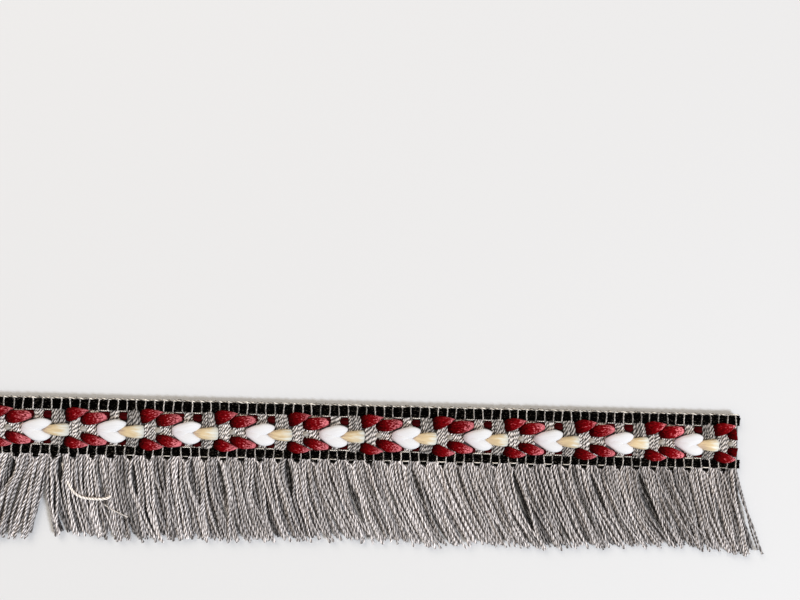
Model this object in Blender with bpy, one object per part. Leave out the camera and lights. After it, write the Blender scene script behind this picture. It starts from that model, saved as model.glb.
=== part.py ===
"""Cut length of woven fringe trim, lying face up. Metres, +Z up.

X runs along the trim, the fringe points to -Y, and the origin is the middle of the heading's
flat back. The heading is a grey web between two black edge bands. Crimson, white and cream
yarns float over it in a figure that repeats every eight picks. The fringe is one row of yarns
held by a narrow root strip.
"""

import math
import random

import bmesh
import bpy

MM = 0.001

# Weave: one pick is one grey weft passing across the heading
PICK = 1.6 * MM
PICKS_PER_REPEAT = 8
PICK_COUNT = 91
REPEAT = PICK * PICKS_PER_REPEAT
LENGTH = PICK * PICK_COUNT
LEFT_END = -LENGTH / 2
RIGHT_END = LENGTH / 2
# The figure's first repeat starts half a pick in from the cut end
FIRST_REPEAT = LEFT_END + PICK / 2
REPEAT_COUNT = 11

# Heading, from its upper edge down to the fringe
HEADING_TOP = 5.1 * MM
HEADING_BOTTOM = -5.1 * MM
UPPER_BAND_WIDTH = 1.85 * MM
LOWER_BAND_WIDTH = 1.7 * MM
SEAT_GAP = 0.3 * MM

BAND_HEIGHT = 1.6 * MM
BAND_GROOVE_HEIGHT = 1.2 * MM
BAND_SIDE_SLOPE = 0.3 * MM
GROOVE_HALF_WIDTH = 0.28 * MM

WEB_VALLEY_HEIGHT = 1.0 * MM
WEB_BAR_HEIGHT = 1.35 * MM
WEB_EDGE_DROP = 0.2 * MM
WEB_EDGE_ROLL = 0.9 * MM

# The four weft bars of one repeat, each a pair of picks drawn together
WEFT_BARS = [
    {"centre": 1.2 * MM, "width": 2.4 * MM},
    {"centre": 4.0 * MM, "width": 2.6 * MM},
    {"centre": 7.8 * MM, "width": 2.3 * MM},
    {"centre": 11.1 * MM, "width": 2.4 * MM},
]
BAR_SHOULDER = 0.55 * MM

# Floating yarns of one repeat, in millimetres from the start of the repeat: "start" and "end" are
# the two ends on the web, "bulge" is where along the float it is widest, from 0 to 1
FLOAT_BASE = WEB_BAR_HEIGHT + SEAT_GAP
CRIMSON_FLOATS = {
    "upper": [
        {"start": (-0.75, 1.97), "end": (3.2, 2.72), "width": 1.9, "height": 0.95, "bulge": 0.42},
        {"start": (1.95, 1.25), "end": (6.4, 2.1), "width": 1.95, "height": 0.9, "bulge": 0.45},
    ],
    "lower": [
        {"start": (-0.75, -1.95), "end": (3.2, -2.9), "width": 1.85, "height": 0.95, "bulge": 0.42},
        {"start": (1.95, -1.5), "end": (6.5, -2.6), "width": 1.9, "height": 0.9, "bulge": 0.45},
    ],
}
HEART_LOBES = [
    {"start": (4.8, -0.15), "end": (9.75, 0.65), "width": 1.85, "height": 1.05, "bulge": 0.66},
    {"start": (4.8, -0.6), "end": (9.7, -1.45), "width": 1.85, "height": 1.05, "bulge": 0.66},
]
CREAM_FLOAT = {"start": (9.65, -0.4), "end": (12.7, -0.4), "width": 1.9, "height": 0.9, "bulge": 0.7}
FLOAT_BLUNTNESS = 0.65
FLOAT_BELLY = 0.35
FLOAT_SIDES = 6
FLOAT_RINGS = 5
FLOAT_SHIFT_ALONG = 0.08 * MM
FLOAT_SHIFT_ACROSS = 0.04 * MM

# Fringe: two yarns to a pick, one lying flat and the next arching from a higher root
STRIP_WIDTH = 0.7 * MM
STRIP_HEIGHT = 1.1 * MM
YARNS_PER_PICK = 2
YARN_WIDTH = 0.53 * MM
YARN_SEGMENTS = 4
FRINGE_DROP_LEFT = 13.6 * MM
FRINGE_DROP_RIGHT = 14.7 * MM
RAGGED_ENDS = 0.45 * MM
LOW_ROOT_LIFT = 0.12 * MM
ARCH_ROOT_LIFT = 0.45 * MM
ARCH_LIFT = 0.5 * MM
LEAN_CURVE = 1.45

# How far a yarn's tip lies to the right of its root, along the trim: the fringe parts near the
# left end and sweeps to the right after that
FRINGE_SWEEP = [
    {"root": -72.0 * MM, "shift": -2.0 * MM},
    {"root": -62.0 * MM, "shift": -3.0 * MM},
    {"root": -54.5 * MM, "shift": -3.5 * MM},
    {"root": -50.4 * MM, "shift": -1.5 * MM},
    {"root": -49.2 * MM, "shift": 0.9 * MM},
    {"root": -45.3 * MM, "shift": 2.7 * MM},
    {"root": -38.0 * MM, "shift": 3.3 * MM},
    {"root": -29.0 * MM, "shift": 3.0 * MM},
    {"root": -20.0 * MM, "shift": 4.2 * MM},
    {"root": -7.0 * MM, "shift": 4.4 * MM},
    {"root": 5.0 * MM, "shift": 6.0 * MM},
    {"root": 20.0 * MM, "shift": 6.8 * MM},
    {"root": 35.0 * MM, "shift": 6.0 * MM},
    {"root": 50.0 * MM, "shift": 6.4 * MM},
    {"root": 62.0 * MM, "shift": 5.2 * MM},
    {"root": 72.0 * MM, "shift": 3.8 * MM},
]

GREY = (0.36, 0.34, 0.33)
BLACK = (0.012, 0.012, 0.014)
CRIMSON = (0.33, 0.012, 0.03)
WHITE = (0.86, 0.84, 0.9)
CREAM = (0.82, 0.66, 0.38)


def clear_scene():
    for obj in list(bpy.data.objects):
        bpy.data.objects.remove(obj)


def new_collection(name):
    collection = bpy.data.collections.new(name)
    bpy.context.scene.collection.children.link(collection)
    return collection


def yarn_material(name, colour, roughness):
    material = bpy.data.materials.new(name)
    material.use_nodes = True
    shader = material.node_tree.nodes["Principled BSDF"]
    shader.inputs["Base Color"].default_value = (*colour, 1.0)
    shader.inputs["Roughness"].default_value = roughness
    shader.inputs["Metallic"].default_value = 0.0
    material.diffuse_color = (*colour, 1.0)
    return material


def add_object(name, mesh, collection, material=None):
    obj = bpy.data.objects.new(name, mesh)
    collection.objects.link(obj)
    if material and not mesh.materials:
        mesh.materials.append(material)
    return obj


def hide_helper(obj):
    obj.hide_render = True
    obj.display_type = "WIRE"


def relief_slab(name, stations, rows, height_at, spread_at_base=0.0):
    """Slab with a flat back: a grid over stations (X) and rows (Y), raised by height_at(i, j)."""
    bm = bmesh.new()
    bmesh.ops.create_grid(bm, x_segments=len(stations) - 1, y_segments=len(rows) - 1, size=0.5)
    bm.verts.ensure_lookup_table()
    across = sorted({round(v.co.y, 6) for v in bm.verts})
    along = sorted({round(v.co.x, 6) for v in bm.verts})
    column_of = {x: i for i, x in enumerate(along)}
    row_of = {y: j for j, y in enumerate(across)}
    for vert in bm.verts:
        i = column_of[round(vert.co.x, 6)]
        j = row_of[round(vert.co.y, 6)]
        vert.co = (stations[i], rows[j], height_at(i, j))

    rim = [edge for edge in bm.edges if edge.is_boundary]
    skirt = bmesh.ops.extrude_edge_only(bm, edges=rim)
    low_verts = [item for item in skirt["geom"] if isinstance(item, bmesh.types.BMVert)]
    middle = (rows[0] + rows[-1]) / 2
    for vert in low_verts:
        vert.co.z = 0.0
        vert.co.y += spread_at_base if vert.co.y > middle else -spread_at_base
    bmesh.ops.holes_fill(bm, edges=[edge for edge in bm.edges if edge.is_boundary])
    bmesh.ops.recalc_face_normals(bm, faces=bm.faces)
    bmesh.ops.dissolve_limit(bm, angle_limit=math.radians(0.3), verts=bm.verts, edges=bm.edges)
    mesh = bpy.data.meshes.new(name)
    bm.to_mesh(mesh)
    bm.free()
    return mesh


def band_mesh(name, y_low, y_high):
    """Black edge band: one rounded block of warps to each pick, with a groove between blocks."""
    stations = [LEFT_END]
    tops = [True]
    for pick in range(PICK_COUNT):
        groove = FIRST_REPEAT + pick * PICK
        stations += [groove - GROOVE_HALF_WIDTH, groove, groove + GROOVE_HALF_WIDTH]
        tops += [True, False, True]
    stations.append(RIGHT_END)
    tops.append(True)
    rows = [y_low + BAND_SIDE_SLOPE, y_high - BAND_SIDE_SLOPE]

    def height_at(i, j):
        return BAND_HEIGHT if tops[i] else BAND_GROOVE_HEIGHT

    return relief_slab(name, stations, rows, height_at, BAND_SIDE_SLOPE)


def web_mesh(name, y_low, y_high):
    """Grey web: weft bars raised across it, lower where they dive under the edge bands."""
    stations = [LEFT_END]
    raised = [False]
    for repeat in range(REPEAT_COUNT + 1):
        for bar in WEFT_BARS:
            centre = FIRST_REPEAT + repeat * REPEAT + bar["centre"]
            half = bar["width"] / 2
            if centre + half > RIGHT_END:
                continue
            stations += [centre - half + BAR_SHOULDER, centre + half - BAR_SHOULDER, centre + half]
            raised += [True, True, False]
    stations.append(RIGHT_END)
    raised.append(False)
    rows = [y_low, y_low + WEB_EDGE_ROLL, y_high - WEB_EDGE_ROLL, y_high]

    def height_at(i, j):
        height = WEB_BAR_HEIGHT if raised[i] else WEB_VALLEY_HEIGHT
        at_edge = j in (0, len(rows) - 1)
        return height - WEB_EDGE_DROP if at_edge and raised[i] else height

    return relief_slab(name, stations, rows, height_at)


def float_mesh(name, shape):
    """One floating yarn: a sphere drawn out into a leaf with a flat belly and two narrow ends."""
    (x0, y0), (x1, y1) = shape["start"], shape["end"]
    length = math.hypot(x1 - x0, y1 - y0) * MM
    heading = math.atan2(y1 - y0, x1 - x0)
    power = math.log(0.5) / math.log(shape["bulge"])
    bm = bmesh.new()
    bmesh.ops.create_uvsphere(bm, u_segments=FLOAT_SIDES, v_segments=FLOAT_RINGS, radius=1.0)
    for vert in bm.verts:
        across, up, along = vert.co.x, vert.co.y, vert.co.z
        girth = max(math.hypot(across, up), 0.001)
        fullness = girth**FLOAT_BLUNTNESS / girth
        local_x = ((along + 1) / 2) ** (1 / power) * length
        local_y = across * fullness * shape["width"] * MM / 2
        raised = (max(up * fullness, -FLOAT_BELLY) + FLOAT_BELLY) / (1 + FLOAT_BELLY)
        vert.co = (
            x0 * MM + local_x * math.cos(heading) - local_y * math.sin(heading),
            y0 * MM + local_x * math.sin(heading) + local_y * math.cos(heading),
            raised * shape["height"] * MM,
        )
    mesh = bpy.data.meshes.new(name)
    bm.to_mesh(mesh)
    bm.free()
    mesh.shade_smooth()
    return mesh


def united_mesh(name, shapes, helpers):
    """The floats of one yarn group, joined where they overlap."""
    first = add_object(name + "_base", float_mesh(name + "_base", shapes[0]), helpers)
    for number, shape in enumerate(shapes[1:]):
        label = f"{name}_add_{number}"
        other = add_object(label, float_mesh(label, shape), helpers)
        hide_helper(other)
        union = first.modifiers.new("join", "BOOLEAN")
        union.operation = "UNION"
        union.object = other
    graph = bpy.context.evaluated_depsgraph_get()
    mesh = bpy.data.meshes.new_from_object(first.evaluated_get(graph))
    mesh.name = name
    bpy.data.objects.remove(first)
    return mesh


def place_floats(name, mesh, repeats, collection, material, rng):
    """One copy of the mesh in each of the repeats, shifted a little, as a loom leaves them."""
    for repeat in repeats:
        copy = add_object(f"{name}_{repeat + 1:02d}", mesh, collection, material)
        copy.location = (
            FIRST_REPEAT + repeat * REPEAT + rng.uniform(-FLOAT_SHIFT_ALONG, FLOAT_SHIFT_ALONG),
            rng.uniform(-FLOAT_SHIFT_ACROSS, FLOAT_SHIFT_ACROSS),
            FLOAT_BASE,
        )


def sweep_at(root):
    """Sideways shift of the tip of a yarn with its root at this X."""
    for near, far in zip(FRINGE_SWEEP, FRINGE_SWEEP[1:]):
        if root <= far["root"]:
            share = (root - near["root"]) / (far["root"] - near["root"])
            return near["shift"] + share * (far["shift"] - near["shift"])
    return FRINGE_SWEEP[-1]["shift"]


def yarn_points(number, rng):
    """Centre line of one fringe yarn, from inside the root strip to its cut end."""
    pitch = PICK / YARNS_PER_PICK
    root = LEFT_END + (number + 0.5) * pitch
    arched = number % YARNS_PER_PICK == 1
    rest = YARN_WIDTH / 2
    share_along = (root - LEFT_END) / LENGTH
    drop = FRINGE_DROP_LEFT + share_along * (FRINGE_DROP_RIGHT - FRINGE_DROP_LEFT)
    drop += rng.uniform(-RAGGED_ENDS, RAGGED_ENDS)
    shift = sweep_at(root)
    root_y = HEADING_BOTTOM - SEAT_GAP - STRIP_WIDTH / 2
    points = []
    for step in range(YARN_SEGMENTS + 1):
        t = step / YARN_SEGMENTS
        if step == 0:
            lift = ARCH_ROOT_LIFT if arched else LOW_ROOT_LIFT
        else:
            lift = ARCH_LIFT * (1 - t) if arched else 0.0
        x = root + shift * t**LEAN_CURVE
        y = root_y - (drop - SEAT_GAP - STRIP_WIDTH / 2) * t
        points.append((x, y, rest + lift))
    return points


def fringe_yarns(name, helpers):
    """All fringe yarns as one curve with a square section, turned into a mesh."""
    rng = random.Random(4)
    curve = bpy.data.curves.new(name, "CURVE")
    curve.dimensions = "3D"
    curve.twist_mode = "Z_UP"
    curve.bevel_depth = YARN_WIDTH / math.sqrt(2)
    curve.bevel_resolution = 0
    curve.use_fill_caps = True
    for number in range(PICK_COUNT * YARNS_PER_PICK):
        points = yarn_points(number, rng)
        spline = curve.splines.new("POLY")
        spline.points.add(len(points) - 1)
        for point, place in zip(spline.points, points):
            point.co = (*place, 1.0)
            point.tilt = math.radians(45)
    drawn = bpy.data.objects.new(name + "_curve", curve)
    helpers.objects.link(drawn)
    graph = bpy.context.evaluated_depsgraph_get()
    mesh = bpy.data.meshes.new_from_object(drawn.evaluated_get(graph))
    bm = bmesh.new()
    bm.from_mesh(mesh)
    bmesh.ops.remove_doubles(bm, verts=bm.verts, dist=0.001 * MM)
    bmesh.ops.recalc_face_normals(bm, faces=bm.faces)
    bm.to_mesh(mesh)
    bm.free()
    yarns = add_object(name, mesh, helpers)
    bpy.data.objects.remove(drawn)
    hide_helper(yarns)
    return yarns


def fringe(collection, helpers, material):
    """Root strip below the lower band, with every yarn's root joined into it."""
    strip_y = HEADING_BOTTOM - SEAT_GAP - STRIP_WIDTH / 2
    bm = bmesh.new()
    bmesh.ops.create_cube(bm, size=1.0)
    bmesh.ops.scale(bm, vec=(LENGTH, STRIP_WIDTH, STRIP_HEIGHT), verts=bm.verts)
    bmesh.ops.translate(bm, vec=(0.0, strip_y, STRIP_HEIGHT / 2), verts=bm.verts)
    mesh = bpy.data.meshes.new("fringe")
    bm.to_mesh(mesh)
    bm.free()
    strip = add_object("fringe", mesh, collection, material)
    union = strip.modifiers.new("roots", "BOOLEAN")
    union.operation = "UNION"
    union.solver = "EXACT"
    union.object = fringe_yarns("fringe_yarns", helpers)
    return strip


def heading(collection, materials):
    web_top = HEADING_TOP - UPPER_BAND_WIDTH - SEAT_GAP
    web_bottom = HEADING_BOTTOM + LOWER_BAND_WIDTH + SEAT_GAP
    web = web_mesh("ground_web", web_bottom, web_top)
    add_object("ground_web", web, collection, materials["grey"])
    upper = band_mesh("upper_band", HEADING_TOP - UPPER_BAND_WIDTH, HEADING_TOP)
    add_object("upper_band", upper, collection, materials["black"])
    lower = band_mesh("lower_band", HEADING_BOTTOM, HEADING_BOTTOM + LOWER_BAND_WIDTH)
    add_object("lower_band", lower, collection, materials["black"])


def floating_yarns(collection, helpers, materials):
    rng = random.Random(11)
    whole_repeats = range(REPEAT_COUNT)
    last_repeat = [REPEAT_COUNT]
    for side, shapes in CRIMSON_FLOATS.items():
        name = f"crimson_{side}"
        pair = united_mesh(name, shapes, helpers)
        place_floats(name, pair, whole_repeats, collection, materials["crimson"], rng)
        outer = float_mesh(name + "_outer", shapes[0])
        place_floats(name, outer, last_repeat, collection, materials["crimson"], rng)
    heart = united_mesh("heart", HEART_LOBES, helpers)
    place_floats("heart", heart, whole_repeats, collection, materials["white"], rng)
    cream = float_mesh("cream_stitch", CREAM_FLOAT)
    place_floats("cream_stitch", cream, whole_repeats, collection, materials["cream"], rng)


def main():
    clear_scene()
    trim = new_collection("fringe_trim")
    helpers = new_collection("helpers")
    materials = {
        "grey": yarn_material("grey_yarn", GREY, 0.75),
        "black": yarn_material("black_yarn", BLACK, 0.7),
        "crimson": yarn_material("crimson_yarn", CRIMSON, 0.6),
        "white": yarn_material("white_yarn", WHITE, 0.7),
        "cream": yarn_material("cream_yarn", CREAM, 0.7),
    }
    heading(trim, materials)
    floating_yarns(trim, helpers, materials)
    fringe(trim, helpers, materials["grey"])


main()
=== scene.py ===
import math

import bpy
import numpy as np
from mathutils import Euler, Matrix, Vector


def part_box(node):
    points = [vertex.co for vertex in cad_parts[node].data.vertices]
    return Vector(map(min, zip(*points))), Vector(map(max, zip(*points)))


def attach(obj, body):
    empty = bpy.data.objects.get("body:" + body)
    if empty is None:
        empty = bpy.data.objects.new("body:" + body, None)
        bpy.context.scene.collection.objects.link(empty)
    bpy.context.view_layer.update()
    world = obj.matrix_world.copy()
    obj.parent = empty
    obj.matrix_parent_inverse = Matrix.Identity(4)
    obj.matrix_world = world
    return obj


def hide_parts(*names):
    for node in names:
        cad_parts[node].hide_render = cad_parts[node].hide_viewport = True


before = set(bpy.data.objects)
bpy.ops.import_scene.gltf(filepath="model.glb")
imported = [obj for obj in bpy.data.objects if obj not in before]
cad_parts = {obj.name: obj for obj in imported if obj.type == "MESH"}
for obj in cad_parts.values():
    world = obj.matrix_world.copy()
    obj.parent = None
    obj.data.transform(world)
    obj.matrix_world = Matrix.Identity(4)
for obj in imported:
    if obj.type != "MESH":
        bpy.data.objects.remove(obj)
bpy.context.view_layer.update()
scene = bpy.context.scene

# Sizes below are in millimetres, in the frame's axes: X along the trim, fringe towards -Y
mm = 0.001

weave = {
    "pick": 1.6, "picksPerRepeat": 8, "repeats": 11,
    "grooveShift": 0.17,  # first groove, from the start of the repeat
}
webLow, webHigh = (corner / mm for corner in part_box("ground_web"))
upperLow, upperHigh = (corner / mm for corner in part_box("upper_band"))
lowerLow, lowerHigh = (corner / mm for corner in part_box("lower_band"))
leftEnd, rightEnd = webLow.x, webHigh.x
topEdge, bottomEdge = upperHigh.y, lowerLow.y
repeatLength = weave["pick"] * weave["picksPerRepeat"]
firstRepeat = leftEnd + weave["pick"] / 2
pickCount = round((rightEnd - leftEnd) / weave["pick"])
groovePlaces = firstRepeat + weave["grooveShift"] + weave["pick"] * np.arange(pickCount)
repeatStarts = firstRepeat + repeatLength * np.arange(-1, weave["repeats"] + 1)  # one more at each end


def unit(vectors):
    return vectors / np.maximum(np.linalg.norm(vectors, axis=-1, keepdims=True), 1e-9)


def smoothStep(value):
    value = np.clip(value, 0, 1)
    return value * value * (3 - 2 * value)


def eitherWay(rng, size, count=None):
    return rng.uniform(-size, size, count)


def smoothThrough(values, share):
    # smooth curve through a row of values, share counts from one value to the next
    values = np.asarray(values, float)
    padded = np.concatenate([[2 * values[0] - values[1]], values, [2 * values[-1] - values[-2]]])
    index = np.clip(share.astype(int), 0, len(values) - 2)
    t = share - index
    a, b, c, d = (padded[index + step] for step in range(4))
    return 0.5 * (2 * b + (c - a) * t + (2 * a - 5 * b + 4 * c - d) * t**2 + (3 * b - a - 3 * c + d) * t**3)


def travelled(centres):
    steps = np.linalg.norm(np.diff(centres, axis=1), axis=-1).cumsum(axis=1)
    return np.concatenate([np.zeros((len(centres), 1)), steps], axis=1)


def sweepYarns(
    centres, halfWidth, halfHeight=None, points=8, twist=None, waist=0.5, slant=1.0, ridge=0.0, roll=0.0,
    side=None, flat=1.0, foot=1.0,
):
    # centres: yarns x rings x 3. A ring of points round each centre and a cap at both ends.
    # twist: angle of two plies wound round each other, slant: how much they cross the yarn's top face.
    # ridge: every second point drawn in, as between filaments. flat and foot: under 1 for steeper sides,
    # above the middle and below it.
    yarns, rings, _ = centres.shape

    def perRing(value):
        return np.broadcast_to(value, (yarns, rings))[..., None]

    halfHeight = halfWidth if halfHeight is None else halfHeight
    tangent = unit(np.gradient(centres, axis=1))
    across = np.cross([0.0, 0.0, 1.0], tangent) if side is None else np.broadcast_to(side, centres.shape)
    across = unit(across - (across * tangent).sum(-1, keepdims=True) * tangent)
    upward = np.cross(tangent, across)
    turn = np.arange(points) / points
    angle = 2 * np.pi * turn - np.pi / 2 + perRing(roll)
    if twist is None:
        phase = np.broadcast_to(np.pi / 2 * (np.arange(points) % 2), (yarns, rings, points))
        reach = 1 - ridge * (1 - np.cos(phase))
    else:
        phase = slant * (angle - np.pi / 2) - perRing(twist)
        reach = waist + (1 - waist) * np.abs(np.cos(phase))
    power = np.where(np.sin(angle) < 0, foot, flat)
    sideways = np.sign(np.cos(angle)) * np.abs(np.cos(angle)) ** power
    upwards = np.sign(np.sin(angle)) * np.abs(np.sin(angle)) ** flat
    width, height = perRing(halfWidth), perRing(halfHeight)
    verts = (
        centres[:, :, None]
        + (width * reach * sideways)[..., None] * across[:, :, None]
        + (height * reach * upwards)[..., None] * upward[:, :, None]
    )
    start = (np.arange(yarns) * rings * points)[:, None, None]
    ring = (np.arange(rings - 1) * points)[None, :, None]
    here = np.arange(points)[None, None, :]
    after = (here + 1) % points
    near, far = start + ring, start + ring + points
    walls = np.stack([near + here, near + after, far + after, far + here], axis=-1).reshape(-1, 4)
    step = np.arange(points // 2 - 1)
    cap = np.stack([step, step + 1, points - 2 - step, points - 1 - step], axis=-1)[None]
    starts = start.reshape(-1, 1, 1) + cap[..., ::-1]
    ends = start.reshape(-1, 1, 1) + (rings - 1) * points + cap
    shape = (yarns, rings, points)
    marks = {
        "along": np.broadcast_to(travelled(centres)[..., None], shape),
        "around": np.broadcast_to(turn, shape),
        "phase": phase,
        "span": np.broadcast_to(np.linspace(0, 1, rings)[:, None], shape),
    }
    return {
        "verts": verts.reshape(-1, 3),
        "faces": np.concatenate([walls, starts.reshape(-1, 4), ends.reshape(-1, 4)]),
        "marks": {name: values.reshape(-1) for name, values in marks.items()},
        "perYarn": rings * points,
    }


def withTone(batch, tones):
    # tone: one number a yarn, from 0 to 1, for its own shade
    batch["marks"]["tone"] = np.repeat(tones, batch["perYarn"])
    return batch


def joined(batches):
    offset = 0
    faces = []
    for batch in batches:
        faces.append(batch["faces"] + offset)
        offset += len(batch["verts"])
    marks = {key: np.concatenate([batch["marks"][key] for batch in batches]) for key in batches[0]["marks"]}
    return {
        "verts": np.concatenate([batch["verts"] for batch in batches]),
        "faces": np.concatenate(faces),
        "marks": marks,
    }


def addObject(name, data):
    made = bpy.data.objects.new(name, data)
    scene.collection.objects.link(made)
    return made


def makePiece(name, batch, material, replaces=()):
    mesh = bpy.data.meshes.new(name)
    verts, faces = batch["verts"] * mm, batch["faces"]
    mesh.vertices.add(len(verts))
    mesh.vertices.foreach_set("co", verts.astype(np.float32).ravel())
    mesh.loops.add(faces.size)
    mesh.loops.foreach_set("vertex_index", faces.astype(np.int32).ravel())
    mesh.polygons.add(len(faces))
    mesh.polygons.foreach_set("loop_start", np.arange(0, faces.size, 4, dtype=np.int32))
    mesh.update(calc_edges=True)
    for key, values in batch["marks"].items():
        mark = mesh.attributes.new(key, "FLOAT", "POINT")
        mark.data.foreach_set("value", values.astype(np.float32))
    mesh.validate()
    mesh.shade_smooth()
    mesh.materials.append(material)
    piece = addObject(name, mesh)
    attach(piece, "root")
    if replaces:
        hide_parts(*replaces)
    print(f"{name}: {2 * len(faces)} triangles")
    return piece


unevenSettings = {
    "tightness": (0.8, 1.2),
    "lag": 0.8,  # how far the twist runs ahead or falls behind along a yarn
    "lagWaves": (0.6, 2.0), "noiseStretches": (1.0, 1.7, 0.61), "noiseLevel": 2.2,
}


def plyTwist(paths, rng, turn):
    # each yarn is twisted a little tighter or looser than the next, and unevenly
    look = unevenSettings
    travel = travelled(paths)
    column = (len(paths), 1)
    tightness = rng.uniform(*look["tightness"], column)
    waves = travel * rng.uniform(*look["lagWaves"], column)
    uneven = look["lag"] * np.sin(waves + rng.uniform(0, 6, column))
    return rng.uniform(0, np.pi, column) + 2 * np.pi * travel / turn * tightness + uneven


def smoothNoise(places, size, period, rng):
    # slow random wave along the trim, roughly from -size to size
    waves = sum(
        np.sin(2 * np.pi * places / (period * stretch) + rng.uniform(0, 2 * np.pi))
        for stretch in unevenSettings["noiseStretches"]
    )
    return size * (waves / unevenSettings["noiseLevel"])


fibreSettings = {
    "detail": 3.0, "patchDetail": 2.0,
    "yarnStep": 91.0,  # sets the fibres of one yarn apart from the next one's
    "patchAlong": 0.3, "patchStep": 57.0, "patchRange": (0.45, 0.75), "patchCrest": 0.4,
    "darkest": 0.05, "bumpDistance": 0.04,
}


def yarnMaterial(name, look):
    fibre = fibreSettings
    material = bpy.data.materials.new(name)
    material.use_nodes = True
    nodes, links = material.node_tree.nodes, material.node_tree.links
    shader = nodes["Principled BSDF"]
    shader.inputs["Roughness"].default_value = look["roughness"]
    shader.inputs["Specular IOR Level"].default_value = look["specular"]

    def feed(node, values, first=0):
        # a mix node's numbers start at socket 2, its colours at 6
        for socket, value in zip(node.inputs[first:], values):
            if isinstance(value, tuple):
                socket.default_value = (*value, 1.0)
            elif isinstance(value, (int, float)):
                socket.default_value = value
            else:
                links.new(value, socket)

    def mark(key):
        node = nodes.new("ShaderNodeAttribute")
        node.attribute_name = key
        return node.outputs["Fac"]

    def maths(operation, *values):
        node = nodes.new("ShaderNodeMath")
        node.operation = operation
        feed(node, values)
        return node.outputs[0]

    def scaled(key, factor):
        return maths("MULTIPLY", mark(key), factor)

    def mixed(factor, first, second, blend="MIX"):
        node = nodes.new("ShaderNodeMix")
        node.data_type = "RGBA"
        node.blend_type = blend
        feed(node, [factor])
        feed(node, [first, second], 6)
        return node.outputs[2]

    def between(value, low, high):
        node = nodes.new("ShaderNodeMapRange")
        node.interpolation_type = "SMOOTHSTEP"
        feed(node, [value, low, high])
        return node.outputs["Result"]

    def noise(detail, *place):
        corner = nodes.new("ShaderNodeCombineXYZ")
        feed(corner, place)
        node = nodes.new("ShaderNodeTexNoise")
        node.inputs["Scale"].default_value = 1.0
        node.inputs["Detail"].default_value = detail
        links.new(corner.outputs[0], node.inputs["Vector"])
        return node.outputs["Fac"]

    # fibres: noise drawn out along the ply, with its own place for each yarn
    fibres = noise(
        fibre["detail"],
        scaled("along", look["fibreAlong"]),
        scaled("around", look["fibreAround"]),
        scaled("tone", fibre["yarnStep"]),
    )
    wave = maths("SUBTRACT", fibres, 0.5)

    # valleys between plies are painted darker as painted shade and crests paler as painted highlight, and
    # each yarn has its own shade
    crest = maths("POWER", maths("ABSOLUTE", maths("COSINE", mark("phase"))), look["crestPower"])
    if "patches" in look:
        # stretches where the yarn is fuzzy and its plies hardly show
        clouds = noise(
            fibre["patchDetail"],
            scaled("along", fibre["patchAlong"]),
            scaled("tone", fibre["patchStep"]),
        )
        fuzzy = maths("MULTIPLY", between(clouds, *fibre["patchRange"]), look["patches"])
        fade = nodes.new("ShaderNodeMix")
        feed(fade, [fuzzy])
        feed(fade, [crest, fibre["patchCrest"]], 2)
        crest = fade.outputs[0]
    colour = mixed(crest, look["valley"], look["crest"])
    for tint in look["tints"]:
        # painted light and shade along a float: each tint is blended in towards its end, so the start keeps
        # the painted shade of the look's own colours and the end takes the tint's painted light; where span
        # is 0 the tint falls only in flecks
        uneven = maths("MULTIPLY", wave, tint["ragged"])
        towardsEnd = scaled("span", tint.get("span", 1.0))
        spread = between(maths("ADD", towardsEnd, uneven), tint["from"], tint["to"])
        colour = mixed(spread, colour, tint["colour"])
    shade = maths("ADD", scaled("tone", look["toneSpread"]), 1.0 - look["toneSpread"] / 2)
    streak = maths("MULTIPLY", wave, look["streak"])
    level = maths("ADD", shade, streak)
    colour = mixed(1.0, colour, maths("MAXIMUM", level, fibre["darkest"]), "MULTIPLY")
    links.new(colour, shader.inputs["Base Color"])

    bump = nodes.new("ShaderNodeBump")
    bump.inputs["Strength"].default_value = look["bump"]
    bump.inputs["Distance"].default_value = fibre["bumpDistance"] * mm
    links.new(fibres, bump.inputs["Height"])
    links.new(bump.outputs["Normal"], shader.inputs["Normal"])
    material.diffuse_color = (*look["crest"], 1.0)
    return material


greyLook = {
    "crest": (0.84, 0.79, 0.785), "valley": (0.06, 0.05, 0.048), "crestPower": 2.2, "patches": 0.4,
    "roughness": 0.5, "specular": 0.4, "toneSpread": 0.9, "streak": 1.6, "tints": (),
    "bump": 0.5, "fibreAlong": 1.1, "fibreAround": 5.0,
}
barLook = dict(greyLook, crest=(0.86, 0.8, 0.765), valley=(0.014, 0.01, 0.008), crestPower=2.6, patches=0.3)
fineGreyLook = {
    "crest": (0.57, 0.54, 0.51), "valley": (0.075, 0.065, 0.055), "crestPower": 1.0,
    "roughness": 0.65, "specular": 0.2, "toneSpread": 1.0, "streak": 4.5, "tints": (),
    "bump": 0.4, "fibreAlong": 3.2, "fibreAround": 3.0,
}
edgeLook = dict(
    fineGreyLook, crest=(0.95, 0.89, 0.8), valley=(0.03, 0.022, 0.018), crestPower=2.2, streak=2.5
)
blackLook = {
    "crest": (0.0014, 0.0011, 0.001), "valley": (0.0005, 0.0004, 0.0004), "crestPower": 1.0,
    "roughness": 0.75, "specular": 0.01, "toneSpread": 0.5, "streak": 1.8,
    "tints": ({"colour": (0.075, 0.065, 0.054), "from": 0.11, "to": 0.2, "ragged": 1.0, "span": 0.0},),
    "bump": 0.7, "fibreAlong": 2.6, "fibreAround": 9.0,
}
# crimson: near black-red at the start of a float as painted shade, its own red in the middle, and pink at the
# right tip as a painted highlight
crimsonLook = {
    "crest": (0.032, 0.0004, 0.0008), "valley": (0.016, 0.0002, 0.0004), "crestPower": 0.8,
    "roughness": 0.6, "specular": 0.02, "toneSpread": 0.3, "streak": 1.6,
    "tints": (
        {"colour": (0.18, 0.001, 0.003), "from": 0.2, "to": 0.55, "ragged": 0.4},
        {"colour": (0.66, 0.18, 0.205), "from": 0.57, "to": 0.78, "ragged": 1.15},
    ),
    "bump": 1.0, "fibreAlong": 3.0, "fibreAround": 34.0,
}
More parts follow.
